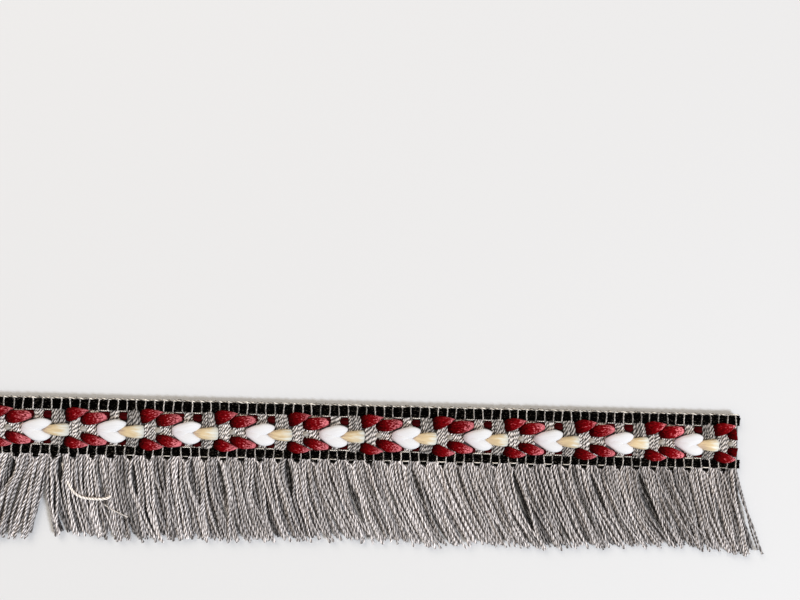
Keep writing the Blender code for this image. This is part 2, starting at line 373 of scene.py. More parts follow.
# white: a lavender cast at the left end of a heart as painted shade, turning neutral towards the right
whiteLook = {
    "crest": (0.9, 0.86, 0.97), "valley": (0.85, 0.81, 0.93), "crestPower": 0.8,
    "roughness": 0.7, "specular": 0.08, "toneSpread": 0.04, "streak": 0.2,
    "tints": ({"colour": (0.84, 0.845, 0.87), "from": 0.0, "to": 0.6, "ragged": 0.3},),
    "bump": 0.4, "fibreAlong": 0.5, "fibreAround": 30.0,
}
# cream: darker tan at the left tip as painted shade and pale at the right end as painted light
creamLook = {
    "crest": (0.62, 0.475, 0.365), "valley": (0.49, 0.355, 0.27), "crestPower": 0.8,
    "roughness": 0.5, "specular": 0.12, "toneSpread": 0.1, "streak": 0.6,
    "tints": (
        {"colour": (0.75, 0.59, 0.36), "from": 0.1, "to": 0.45, "ragged": 0.8},
        {"colour": (0.75, 0.76, 0.69), "from": 0.45, "to": 0.85, "ragged": 1.0},
    ),
    "bump": 0.6, "fibreAlong": 0.5, "fibreAround": 18.0,
}
strayLook = dict(greyLook, crest=(0.95, 0.9, 0.85), valley=(0.3, 0.26, 0.24), crestPower=1.2, patches=0.2)
shadedLook = dict(crimsonLook, crest=(0.05, 0.0015, 0.002), valley=(0.02, 0.0008, 0.001), tints=())
# painted shade: a darker, greyer copy of the cream look, for the yarn seen down in the small gaps of the web
shadedCreamLook = dict(creamLook, crest=(0.47, 0.44, 0.4), valley=(0.3, 0.28, 0.25), tints=())


groundSettings = {
    "low": 0.5, "high": 0.66, "topInset": 0.22, "bottomInset": 0.44, "endInset": 0.05, "columns": 183,
    "rows": 12, "ripple": 0.05, "waves": 6, "phase": 1.27, "tone": 0.3,
}


def groundCloth(material):
    # thin closed sheet under all the yarns, which shows only in the gaps between them
    look = groundSettings
    xs = np.linspace(leftEnd + look["endInset"], rightEnd - look["endInset"], look["columns"])
    ys = np.linspace(bottomEdge + look["bottomInset"], topEdge - look["topInset"], look["rows"])
    gridX, gridY = np.meshgrid(xs, ys, indexing="ij")
    ripple = look["ripple"] * np.sin(2 * np.pi * (gridX - firstRepeat) / weave["pick"])
    ripple = ripple * np.cos(gridY * look["waves"])
    layers = [np.stack([gridX, gridY, level + ripple], axis=-1) for level in (look["high"], look["low"])]
    verts = np.concatenate([layer.reshape(-1, 3) for layer in layers])
    columns, rows = look["columns"], look["rows"]
    below = columns * rows
    index = np.arange(below).reshape(columns, rows)
    top = np.stack([index[:-1, :-1], index[1:, :-1], index[1:, 1:], index[:-1, 1:]], axis=-1).reshape(-1, 4)
    rim = np.concatenate([index[:, 0], index[-1, 1:], index[-2::-1, -1], index[0, -2:0:-1]])
    after = np.roll(rim, -1)
    wall = np.stack([rim + below, after + below, after, rim], axis=-1)
    faces = np.concatenate([top, top[:, ::-1] + below, wall])
    # the crest mark follows the ripple, so the ripple's high parts are painted paler as painted light
    marks = {
        "along": np.tile(gridX.ravel(), 2),
        "around": np.tile(gridY.ravel(), 2) / 3,
        "phase": np.tile(look["phase"] - ripple.ravel() * 3, 2),
        "span": np.full(len(verts), 0.5),
        "tone": np.full(len(verts), look["tone"]),
    }
    cloth = {"verts": verts, "faces": faces, "marks": marks}
    return makePiece("groundCloth", cloth, material, ["ground_web"])


barSettings = {
    "bars": [  # middle from the start of the repeat, width, lean of the ends, rise and shade; the shade ranges differ from bar to bar as painted light and shade
        (1.15, 2.5, 0.0, 0.0, (0.45, 1.1)),
        (3.8, 2.9, 0.0, -0.05, (0.8, 1.5)),
        (7.65, 2.4, 0.0, 0.0, (0.15, 1.05)),
        (11.15, 2.75, -0.35, 0.35, (-0.2, 0.55)),
    ],
    "yarns": 7, "radius": 0.215, "waist": 0.4, "slant": 0.8,
    "turn": 1.45,  # length of one full turn of the twist
    "points": 6, "rings": 34, "packing": 0.8, "past": 0.1, "endHeight": 0.78, "crown": 0.3,
    "crownPower": 0.6, "sideDrop": 0.16, "pinch": 0.22, "pinchPower": 1.6, "sway": 0.05, "swayRate": 7,
    "rough": 0.03,
}


def weftBars(material):
    look = barSettings
    rng = np.random.default_rng(3)
    top, bottom = upperLow.y + look["past"], lowerHigh.y + look["past"]
    share = np.linspace(0, 1, look["rings"])
    atEnds = np.abs(2 * share - 1) ** look["pinchPower"]
    paths, tones = [], []
    for origin in repeatStarts:
        for place, width, lean, rise, shade in look["bars"]:
            middle = origin + place
            for yarn in range(look["yarns"]):
                seat = (yarn + 0.5) / look["yarns"] * 2 - 1
                reach = seat * (width / 2 - look["radius"] * look["packing"])
                x = middle + reach * (1 - look["pinch"] * atEnds) + lean * atEnds
                x = x + eitherWay(rng, look["sway"])
                x = x + look["sway"] * np.sin(share * look["swayRate"] + rng.uniform(0, 6))
                z = look["endHeight"] + rise + look["crown"] * np.sin(np.pi * share) ** look["crownPower"]
                z = z - look["sideDrop"] * seat**2 + eitherWay(rng, look["rough"])
                # painted light and shade: each bar's own shade range makes it brighter or darker than the
                # others
                tone = rng.uniform(*shade)
                if x.min() < leftEnd + look["radius"] or x.max() > rightEnd - look["radius"]:
                    continue
                paths.append(np.stack([x, top + (bottom - top) * share, z], axis=-1))
                tones.append(tone)
    paths = np.array(paths)
    twist = plyTwist(paths, rng, look["turn"])
    batch = sweepYarns(
        paths, look["radius"], points=look["points"], twist=twist, waist=look["waist"], slant=look["slant"]
    )
    makePiece("weftBars", withTone(batch, tones), material, ["ground_web"])


backSettings = {
    "radius": 0.22, "rings": 20, "height": 0.36, "wave": 0.08, "waveRate": 22, "sway": 0.06,
    "swayRate": 9, "turn": 1.3, "topInset": 0.45, "bottomInset": 0.55, "endInset": 0.3,
    "inPick": (0.45, 1.1),  # the two wefts of a pick, from its groove
    "shade": (0.3, 0.9),
}


def backWefts(material):
    # the grey wefts that cross the back of the web, one pair to a pick
    look = backSettings
    rng = np.random.default_rng(8)
    share = np.linspace(0, 1, look["rings"])
    top, bottom = topEdge - look["topInset"], bottomEdge + look["bottomInset"]
    places = np.repeat(groovePlaces, 2) + np.tile(look["inPick"], len(groovePlaces))
    places = places[(places > leftEnd + look["endInset"]) & (places < rightEnd - look["endInset"])]
    column = (len(places), 1)
    x = places[:, None] + look["sway"] * np.sin(share * look["swayRate"] + rng.uniform(0, 6, column))
    y = np.broadcast_to(top + (bottom - top) * share, x.shape)
    z = look["height"] + look["wave"] * np.sin(share * look["waveRate"] + rng.uniform(0, 6, column))
    twist = rng.uniform(0, np.pi, column) + 2 * np.pi * (top - bottom) * share / look["turn"]
    batch = sweepYarns(np.stack([x, y, z], axis=-1), look["radius"], points=6, twist=twist)
    tones = rng.uniform(*look["shade"], len(places))
    makePiece("backWefts", withTone(batch, tones), material, ["ground_web"])


backFloatSettings = {
    # half the width of a yarn, then its place across the web and its stretch of each repeat
    "crimson": (0.45, [(2.4, 3.6, 11.2), (-2.5, 3.6, 11.2), (1.4, 6.9, 14.4), (-1.6, 6.9, 14.4)]),
    "white": (0.5, [(0.3, -2.6, 4.7), (-1.0, -2.6, 4.7)]),
    "cream": (0.55, [(-0.35, 0.1, 7.9)]),
    "halfHeight": 0.16, "low": 0.19, "endRise": 0.35, "endPower": 8, "sway": 0.05, "swayRate": 5,
    "endInset": 0.1, "shortest": 1, "rings": 12, "points": 10, "ridge": 0.08, "shade": (0.2, 0.8),
}


def backFloats(name, kind, material, seed):
    # figure yarns where they lie on the back of the web, between two floats of the face
    look = backFloatSettings
    rng = np.random.default_rng(seed)
    share = np.linspace(0, 1, look["rings"])
    half, warps = look[kind]
    paths = []
    for origin in repeatStarts:
        for across, begin, end in warps:
            start = max(origin + begin, leftEnd + look["endInset"])
            stop = min(origin + end, rightEnd - look["endInset"])
            if stop - start < look["shortest"]:
                continue
            y = across + look["sway"] * np.sin(share * look["swayRate"] + rng.uniform(0, 6))
            z = look["low"] + look["endRise"] * np.abs(2 * share - 1) ** look["endPower"]
            paths.append(np.stack([start + (stop - start) * share, y, z], axis=-1))
    batch = sweepYarns(np.array(paths), half, look["halfHeight"], points=look["points"], ridge=look["ridge"])
    tones = rng.uniform(*look["shade"], len(paths))
    makePiece(name, withTone(batch, tones), material)


bandSettings = {
    "upper": (3.06, 4.9),  # the stretch across the trim that the warps fill
    "lower": (-4.64, -3.1), "warps": 5, "radius": 0.23, "packing": 0.58, "ridge": 0.07,
    "blockHeight": 1.26, "grooveHeight": 0.98, "squareness": 0.35, "sideDrop": 0.1, "ringsPerPick": 5,
    "raggedEnds": 0.12,
    "sway": (0.03, 9),  # size and period
    "rise": (0.02, 5),
}


def warpHeight(x, look):
    # high over each pick, drawn down under the thin weft at each groove
    wave = np.abs(np.sin(np.pi * (x - groovePlaces[0]) / weave["pick"])) ** look["squareness"]
    return look["grooveHeight"] + (look["blockHeight"] - look["grooveHeight"]) * wave


def edgeBand(name, side, material, replaced, seed):
    look = bandSettings
    rng = np.random.default_rng(seed)
    yLow, yHigh = look[side]
    rings = pickCount * look["ringsPerPick"] + 1
    pitch = (yHigh - yLow) / look["warps"]
    ragged = look["raggedEnds"]
    paths = []
    for warp in range(look["warps"]):
        x = np.linspace(leftEnd - rng.uniform(0, ragged), rightEnd + rng.uniform(0, ragged), rings)
        seat = (warp + 0.5) / look["warps"] * 2 - 1
        y = yLow + pitch * (warp + 0.5) + smoothNoise(x, *look["sway"], rng)
        z = warpHeight(x, look) - look["sideDrop"] * seat**2 + smoothNoise(x, *look["rise"], rng)
        paths.append(np.stack([x, y, z], axis=-1))
    batch = sweepYarns(np.array(paths), pitch * look["packing"], look["radius"], ridge=look["ridge"])
    tones = rng.uniform(0, 1, look["warps"])
    makePiece(name, withTone(batch, tones), material, [replaced])


loopSettings = {
    "bundle": 2.6,  # middle of a bundle of fringe yarns, from the start of the repeat
    "every": 3.2, "halfLength": 0.8, "reach": (0.85, 1.02), "endInset": 0.7,
    "rows": [(-4.78, 0.16), (-5.02, 0.17)],  # y and half the width
    "jitter": 0.04, "bow": 0.12, "top": 1.26, "dive": 0.8, "rings": 9, "ridge": 0.07,
}
lineSettings = {
    "from": -38,  # no line to the left of this
    "y": -4.56, "jitter": 0.05, "bow": 0.05, "lift": 0.19, "sunk": (0.0, 0.0, 0.14), "dive": 0.35,
    "reach": (0.5, 0.72), "radius": 0.08, "shade": (-0.2, 0.7),
}
firstBundle = firstRepeat + loopSettings["bundle"] - 2 * loopSettings["every"]
bundlePlaces = np.arange(firstBundle, rightEnd + loopSettings["every"], loopSettings["every"])


def edgeLoops(blackMaterial, lineMaterial):
    # every second block of the lower band reaches over the fringe's roots, with a light thread across it
    look, line = loopSettings, lineSettings
    rng = np.random.default_rng(41)
    share = np.linspace(-1, 1, look["rings"])
    loops, lines = [], []
    for middle in bundlePlaces - look["every"] / 2:
        if middle - leftEnd < look["endInset"] or rightEnd - middle < look["endInset"]:
            continue
        reach = look["halfLength"] * rng.uniform(*look["reach"])
        for across, _ in look["rows"]:
            z = look["top"] - look["dive"] * np.abs(share) ** 5
            y = across + eitherWay(rng, look["jitter"]) + look["bow"] * share**4
            loops.append(np.stack([middle + reach * share, y, z], axis=-1))
        if middle < line["from"]:
            continue
        y = line["y"] + eitherWay(rng, line["jitter"]) + line["bow"] * share**2
        z = look["top"] + line["lift"] - line["dive"] * share**6 - rng.choice(line["sunk"])
        lines.append(np.stack([middle + rng.uniform(*line["reach"]) * share, y, z], axis=-1))
    halves = np.tile([half for _, half in look["rows"]], len(loops) // len(look["rows"]))[:, None]
    batch = sweepYarns(np.array(loops), halves, ridge=look["ridge"])
    tones = rng.uniform(0, 1, len(loops))
    makePiece("edgeLoops", withTone(batch, tones), blackMaterial, ["lower_band"])
    batch = sweepYarns(np.array(lines), line["radius"], points=6, twist=0.0, slant=0.0)
    tones = rng.uniform(*line["shade"], len(lines))
    makePiece("loopThreads", withTone(batch, tones), lineMaterial, ["lower_band"])


threadSettings = {
    "radius": 0.125, "waist": 0.7, "rings": 24, "lift": 0.1, "turns": 5, "insets": (0.9, 0.3), "jitter": 0.06,
    "sway": 0.07, "swayRate": 1.3, "side": (1.0, 0.2, 0.1),
}


def bandThreads(name, corners, material, replaced, seed):
    # corners: (shift along the trim, y, z) of the thin light weft that crosses the band at each groove
    look = threadSettings
    rng = np.random.default_rng(seed)
    corners = np.array(corners)
    share = np.linspace(0, len(corners) - 1, look["rings"])
    shift, y, z = (smoothThrough(corners[:, axis], share) for axis in range(3))
    leftInset, rightInset = look["insets"]
    paths = []
    for groove in groovePlaces:
        if groove - leftEnd < leftInset or rightEnd - groove < rightInset:
            continue
        x = groove + shift + eitherWay(rng, look["jitter"])
        x = x + look["sway"] * np.sin(share * look["swayRate"] + rng.uniform(0, 6))
        paths.append(np.stack([x, y + eitherWay(rng, look["jitter"]), z], axis=-1))
    twist = rng.uniform(0, np.pi, (len(paths), 1)) + np.linspace(0, 2 * np.pi * look["turns"], look["rings"])
    side, waist = np.array(look["side"]), look["waist"]
    batch = sweepYarns(np.array(paths), look["radius"], points=6, twist=twist, waist=waist, side=side)
    batch = withTone(batch, rng.uniform(0, 1, len(paths)))
    makePiece(name, batch, material, [replaced])


crossTop = bandSettings["grooveHeight"] + bandSettings["radius"] + threadSettings["lift"]
upperThreadCorners = [
    (0.0, 2.85, 0.9), (0.0, 3.15, crossTop - 0.05), (0.0, 3.9, crossTop + 0.02), (0.0, 4.65, crossTop),
    (-0.1, 4.95, 1.3), (-0.5, 5.08, 1.2), (-0.85, 5.14, 0.8), (-0.9, 5.05, 0.4), (-0.9, 4.6, 0.28),
    (-0.8, 3.0, 0.3),
]
lowerThreadCorners = [
    (0.0, -2.95, 0.9), (0.0, -3.25, crossTop - 0.05), (0.0, -3.9, crossTop + 0.02),
    (0.0, -4.5, crossTop - 0.02), (0.0, -4.95, 0.98), (0.1, -5.05, 0.6), (0.2, -4.8, 0.32),
    (0.4, -4.2, 0.28), (0.6, -3.1, 0.3),
]

runSettings = {
    # light weft that runs along the trim between the web and the bands: from and to in the repeat, y, bow
    "runs": [
        (3.45, 5.0, 2.72, 0.1), (5.1, 6.75, 3.02, 0.08), (8.35, 9.95, 3.0, 0.1),
        (6.6, 8.2, -3.02, -0.06), (8.4, 9.95, -3.0, -0.1),
    ],
    "height": 1.22, "rough": (-0.1, 0.05), "jitter": 0.05, "dive": 0.35, "radius": 0.12, "waist": 0.7,
    "rings": 10, "halfTurns": 2.5, "shade": (0.8, 1.4),
}
edgeThreadSettings = {
    "y": 4.98, "height": 1.12, "radius": 0.17, "endInset": 0.1, "ringsPerPick": 8, "bow": 0.04,
    "sway": (0.03, 6),  # size and period
    "rise": (0.06, 4), "loosen": (0.6, 7), "tone": 0.75,
}


def runningThreads(material):
    look = runSettings
    rng = np.random.default_rng(37)
    share = np.linspace(-1, 1, look["rings"])
    paths = []
    for origin in repeatStarts[1:-1]:
        for start, stop, across, bow in look["runs"]:
            middle = origin + (start + stop) / 2
            x = middle + (stop - start) / 2 * share
            y = across + eitherWay(rng, look["jitter"]) + bow * (share**2 - 0.5)
            z = look["height"] - look["dive"] * share**6 + rng.uniform(*look["rough"])
            paths.append(np.stack([x, y, z], axis=-1))
    twist = rng.uniform(0, np.pi, (len(paths), 1)) + np.pi * look["halfTurns"] * share
    batch = sweepYarns(np.array(paths), look["radius"], points=6, twist=twist, waist=look["waist"])
    batch = withTone(batch, rng.uniform(*look["shade"], len(paths)))
    makePiece("runningThreads", batch, material, ["ground_web"])
    # the soft thread that lies along the upper edge, one turn of it to each pick
    edge = edgeThreadSettings
    inset = edge["endInset"]
    x = np.linspace(leftEnd + inset, rightEnd - inset, pickCount * edge["ringsPerPick"] + 1)
    halfTurn = np.pi * (x - groovePlaces[0]) / weave["pick"]
    y = edge["y"] + edge["bow"] * np.cos(2 * halfTurn) + smoothNoise(x, *edge["sway"], rng)
    z = edge["height"] + smoothNoise(x, *edge["rise"], rng)
    twist = halfTurn + smoothNoise(x, *edge["loosen"], rng)
    path = np.stack([x, y, z], axis=-1)[None]
    batch = sweepYarns(path, edge["radius"], twist=twist[None])
    makePiece("edgeThread", withTone(batch, [edge["tone"]]), material, ["upper_band"])


# Stations of the floating yarns: place in the repeat, upper side, lower side, height of the middle
floatSettings = {
    "crimsonUpper": [
        [(-1.0, 2.9, 1.5, 0.3), (-0.45, 3.25, 1.0, 0.75), (0.15, 3.44, 1.02, 1.4), (1.0, 3.54, 1.42, 1.95),
         (1.9, 3.42, 1.95, 1.8), (2.6, 3.26, 2.4, 1.45), (3.2, 3.08, 2.8, 1.15), (3.5, 3.0, 2.88, 0.9)],
        [(1.7, 1.8, 0.8, 0.3), (2.2, 2.1, 0.5, 0.8), (2.85, 2.45, 0.42, 1.45), (3.75, 2.72, 0.48, 1.95),
         (4.7, 2.8, 0.72, 1.95), (5.6, 2.72, 1.05, 1.65), (6.3, 2.55, 1.35, 1.3), (6.65, 2.3, 1.6, 1.0)],
    ],
    "crimsonLower": [
        [(-0.95, -1.8, -2.9, 0.3), (-0.4, -1.5, -3.25, 0.75), (0.15, -1.52, -3.45, 1.4),
         (1.0, -1.78, -3.6, 1.95), (1.8, -2.1, -3.58, 1.8), (2.6, -2.5, -3.42, 1.45),
         (3.2, -2.85, -3.26, 1.15), (3.55, -3.0, -3.15, 0.9)],
        [(1.75, -1.15, -1.9, 0.3), (2.25, -1.0, -2.15, 0.8), (2.95, -0.9, -2.5, 1.45),
         (3.9, -1.0, -2.88, 1.95), (4.7, -1.28, -3.05, 1.95), (5.6, -1.65, -3.02, 1.65),
         (6.3, -2.0, -2.88, 1.3), (6.65, -2.25, -2.68, 1.0)],
    ],
    "crimsonBits": [
        [(4.9, 2.6, 2.2, 0.7), (5.6, 2.85, 1.6, 0.98), (6.2, 2.85, 1.4, 0.98), (6.75, 2.7, 1.6, 0.7)],
        [(5.8, -2.2, -2.6, 0.7), (6.3, -2.0, -2.95, 0.95), (6.7, -2.05, -2.98, 0.9),
         (7.0, -2.3, -2.9, 0.65)],
        [(8.45, 2.4, 1.9, 0.7), (8.85, 2.78, 1.5, 0.95), (9.4, 2.82, 1.42, 0.95), (9.95, 2.7, 1.6, 0.6)],
        [(8.5, -2.4, -2.8, 0.7), (9.0, -2.05, -2.98, 0.95), (9.5, -2.0, -2.95, 0.95),
         (10.0, -2.2, -2.75, 0.6)],
    ],
    "hearts": [
        [(5.0, 0.2, -0.6, 0.9), (5.2, 0.45, -0.8, 1.35), (5.7, 0.78, -0.95, 1.85), (6.5, 1.1, -0.95, 2.12),
         (7.4, 1.34, -0.75, 2.25), (8.3, 1.58, -0.45, 2.22), (9.0, 1.46, -0.15, 2.05),
         (9.5, 1.2, 0.08, 1.75), (9.7, 0.98, 0.2, 1.3)],
        [(5.0, -0.2, -0.7, 0.9), (5.2, 0.0, -0.95, 1.35), (5.7, 0.15, -1.22, 1.85), (6.5, 0.1, -1.7, 2.12),
         (7.4, -0.1, -2.22, 2.25), (8.3, -0.42, -2.46, 2.22), (9.0, -0.8, -2.3, 2.05),
         (9.45, -0.98, -1.98, 1.75), (9.68, -1.1, -1.68, 1.3)],
        [(5.1, 0.25, -0.75, 1.2), (5.4, 0.3, -0.95, 1.7), (6.2, 0.35, -1.2, 2.1), (7.0, 0.25, -1.15, 2.26),
         (7.7, 0.05, -0.9, 2.3), (8.2, -0.2, -0.68, 2.2), (8.45, -0.38, -0.52, 1.9)],
    ],
    "creamStitches": [
        [(8.1, -0.1, -0.8, 1.3), (8.8, -0.05, -0.95, 1.7), (9.6, 0.3, -1.2, 1.95), (10.4, 0.46, -1.4, 2.1),
         (11.3, 0.58, -1.54, 2.1), (12.0, 0.64, -1.6, 1.95), (12.5, 0.62, -1.58, 1.55),
         (12.66, 0.45, -1.4, 1.0)],
    ],
    "creamGaps": [
        [(2.2, 0.1, -0.6, 0.65), (2.35, 0.25, -0.75, 0.92), (2.6, 0.25, -0.75, 0.92),
         (2.75, 0.1, -0.6, 0.65)],
    ],
}
floatBuild = {
    "rings": 20, "points": 20, "ridge": 0.05, "twist": 0.5, "roll": 0.1, "shift": 0.07,
    "sideShift": 0.7,  # sideways, as a share of the shift
    "stretch": (0.95, 1.05), "thickness": 0.45, "fullRange": (0.02, 0.98), "endShare": 0.5, "endInset": 0.5,
    "flat": 0.8, "foot": 0.3, "body": 0.26, "bodyAbove": 1.1, "samples": 90,
    "fewest": 14,  # samples that have to lie between the cut ends, or the float is left out
    "paintedLight": {"from": 38, "to": 58, "tone": 0.8},  # painted light: floats are painted brighter towards the right end, where more light falls
}


def placeFloats(name, shapes, material, replaced, seed, fine):
    # fine: share of the rings and points, under 1 for small floats
    look = floatBuild
    rings, points = round(look["rings"] * fine), 2 * round(look["points"] * fine / 2)
    rng = np.random.default_rng(seed)
    batches = []
    for repeatStart in repeatStarts:
        for shape in shapes:
            stations = np.array(shape)
            lastStation = len(stations) - 1
            along = eitherWay(rng, look["shift"])
            sideways = eitherWay(rng, look["shift"]) * look["sideShift"]
            stretch = rng.uniform(*look["stretch"])
            roll = eitherWay(rng, look["roll"])
            tone = rng.uniform(0, 1)
            # a float that crosses a cut end is cut off there
            origin = repeatStart + along
            steps = np.linspace(0, lastStation, look["samples"])
            stepX = origin + smoothThrough(stations[:, 0], steps)
            inside = steps[(stepX > leftEnd + look["endInset"]) & (stepX < rightEnd - look["endInset"])]
            if len(inside) < look["fewest"]:
                continue
            share = np.linspace(inside[0], inside[-1], rings)
            s, upper, lower, z = (smoothThrough(stations[:, column], share) for column in range(4))
            x = origin + s
            width = (upper - lower) / 2 * stretch
            full = np.sin(np.pi * np.clip(share / lastStation, *look["fullRange"])) ** look["endShare"]
            # a full float bulges down to the web under it as well
            height = np.minimum((look["thickness"] + look["body"]) * full, width)
            sunk = np.minimum(look["body"] * full, height / 2) * (z > look["bodyAbove"])
            centre = np.stack([x, (upper + lower) / 2 + sideways, z - sunk], axis=-1)
            angle = (roll + look["twist"] * share / lastStation)[None]
            batch = sweepYarns(
                centre[None], width[None], height[None], points=points, ridge=look["ridge"], roll=angle,
                flat=look["flat"], foot=look["foot"],
            )
            batch["marks"]["span"] = np.repeat(share / lastStation, points)
            # painted light: a float's tone rises towards the right end of the trim
            paintedLight = look["paintedLight"]
            towardsEnd = (x.mean() - paintedLight["from"]) / (paintedLight["to"] - paintedLight["from"])
            tone += paintedLight["tone"] * smoothStep(towardsEnd)
            batches.append(withTone(batch, [tone]))
    makePiece(name, joined(batches), material, replaced)


floatPieces = [  # piece, material, slot, start of the names of its solids, seed, fineness
    ("crimsonUpper", "crimson", "crimson_yarn", "crimson_upper", 21, 1.0),
    ("crimsonLower", "crimson", "crimson_yarn", "crimson_lower", 22, 1.0),
    ("crimsonBits", "shadedCrimson", "crimson_yarn", None, 23, 0.6),
    ("hearts", "white", "white_yarn", "heart", 24, 1.0),
    ("creamStitches", "cream", "cream_yarn", "cream_stitch", 25, 1.0),
    ("creamGaps", "shadedCream", "cream_yarn", None, 26, 0.6),
]


def figureYarns(materials):
    for name, yarn, slot, solids, seed, fine in floatPieces:
        replaced = [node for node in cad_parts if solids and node.startswith(solids)]
        placeFloats(name, floatSettings[name], materials[yarn], replaced, seed, fine)


# How the fringe sweeps: root along the trim, how far the tip lies to the right of it, how far down it
# reaches, and how light the yarns are there. The fringe parts near the left end.
sweepKnots = [
    (-72, -2.0, 13.9, 0.14), (-62, -3.0, 13.9, 0.1), (-54.5, -3.5, 14.0, 0.06), (-50.6, -1.6, 14.0, 0.0),
    (-49.0, 1.7, 13.2, 0.0), (-45.3, 2.7, 13.6, 0.0), (-38, 3.3, 13.9, -0.05), (-29, 3.0, 13.8, -0.03),
    (-20, 4.2, 13.7, 0.0), (-7, 4.6, 13.4, 0.03), (5, 6.0, 13.6, 0.08), (12, 6.5, 14.2, 0.14),
    (20, 6.8, 13.9, 0.1), (32, 6.2, 14.3, -0.16), (44, 6.2, 13.8, -0.14), (55, 6.2, 13.3, -0.1),
    (62, 5.4, 14.0, -0.02), (72, 3.8, 14.8, -0.06),
]
fringeSettings = {
    # from the lowest layer up. gather: roots drawn together where under 1, pull: yarns drawn to the
    # middle of their lock, opens: how far a cleft parts the layer
    # shade: each layer's range of yarn tones, set lower the deeper the layer lies, as painted shade under the
    # layers above
    "layers": [
        {"perBundle": 6, "radius": 0.3, "rings": 24, "rootHeight": 0.42, "tipHeight": 0.31,
         "arch": 0.0, "shade": (-0.3, 0.15), "gather": 1.0, "pull": 0.0, "lean": 0.0, "bend": 0.0,
         "stray": 0.15, "shorter": 0.7, "opens": 0.0},
        {"perBundle": 6, "radius": 0.21, "rings": 62, "rootHeight": 0.85, "tipHeight": 0.65,
         "arch": 0.15, "shade": (-0.2, 0.7), "gather": 0.95, "pull": 0.25, "lean": 0.45, "bend": 0.3,
         "stray": 0.4, "shorter": 0.2, "opens": 0.7},
        {"perBundle": 6, "radius": 0.22, "rings": 62, "rootHeight": 1.1, "tipHeight": 1.0,
         "arch": 0.3, "shade": (0.0, 1.1), "gather": 0.74, "pull": 0.3, "lean": 0.5, "bend": 0.45,
         "stray": 0.5, "shorter": 0.0, "opens": 1.0},
        {"perBundle": 1, "radius": 0.21, "rings": 62, "rootHeight": 1.1, "tipHeight": 1.1,
         "arch": 0.6, "shade": (0.4, 1.15), "gather": 0.2, "pull": 0.0, "lean": 0.0, "bend": 0.3,
         "stray": 1.5, "shorter": 0.0, "opens": 1.0},
    ],
    "points": 6, "waist": 0.45, "turn": 1.85, "thickness": (0.85, 1.1),
    "flare": 0.22,  # how much a cut end spreads, from where and along how much of the yarn
    "flareRange": (0.94, 0.06), "rootY": -4.42, "rootJitter": 0.12, "endInset": 0.25,
    "gatherLength": 0.11, "ragged": 0.42, "raggedRange": (-1.0, 0.6), "curve": 1.4,
    "curveRange": (-0.2, 0.25), "locks": 80, "lockStart": 8, "lockSpacing": (1.2, 4.8), "lockShade": 0.07,
    "wander": 0.2, "wanderPower": 0.7, "slowWaves": (3, 6), "quickWaves": (8, 15), "quickShare": 0.6,
    "ownBend": 0.1, "dive": 0.13, "diveWaves": (5, 12), "lift": (-0.06, 0.1), "liftRate": 8,
    "settleRate": 1.2, "offFloor": (1.35, 0.01),  # in radii of the yarn, and a little more
    # where the fringe parts, its tips beside the gap, and how the yarns on each side of it bend
    "parting": {
        "root": -49.6, "left": -52.3, "right": -47.9, "scatter": 0.4, "reach": 4.0, "leftCurve": 0.1,
        "rightCurve": 1.2, "rightBend": -0.7,
    },
    # small dark openings between locks: root, width, and the share of the drop from which and to which
    "clefts": [
        (-55.4, 0.66, 0.0, 0.4), (-47.6, 0.66, 0.0, 0.35), (-35.2, 0.66, 0.1, 0.6),
        (-25.2, 0.99, 0.0, 0.65), (-20.6, 1.1, 0.0, 0.8), (-14.6, 0.66, 0.2, 0.7),
        (-8.8, 0.77, 0.0, 0.45), (1.4, 0.77, 0.3, 0.95), (13.2, 0.66, 0.1, 0.6),
        (31.2, 0.66, 0.05, 0.95), (45.4, 0.66, 0.1, 0.7), (54.3, 1.1, 0.05, 0.85),
        (60.8, 0.77, 0.1, 0.8),
    ],
    "cleftReach": 1.3,
    "cleftShade": -0.4,  # painted shade on the lowest layer, where it shows in a cleft
}


def lockShapes(root, rng, layer):
    # neighbouring yarns gather into locks, each with its own lean, bend and shade
    look = fringeSettings
    edges = leftEnd - look["lockStart"] + np.cumsum(rng.uniform(*look["lockSpacing"], look["locks"]))
    leans, bends, shades = rng.normal(0, 1, (3, len(edges) + 1))
    index = np.clip(np.searchsorted(edges, root), 1, len(edges) - 1)
    middle = (edges[index - 1] + edges[index]) / 2
    lean = (middle - root) * layer["pull"] + leans[index] * layer["lean"]
    return lean, bends[index] * layer["bend"], look["lockShade"] * shades[index]


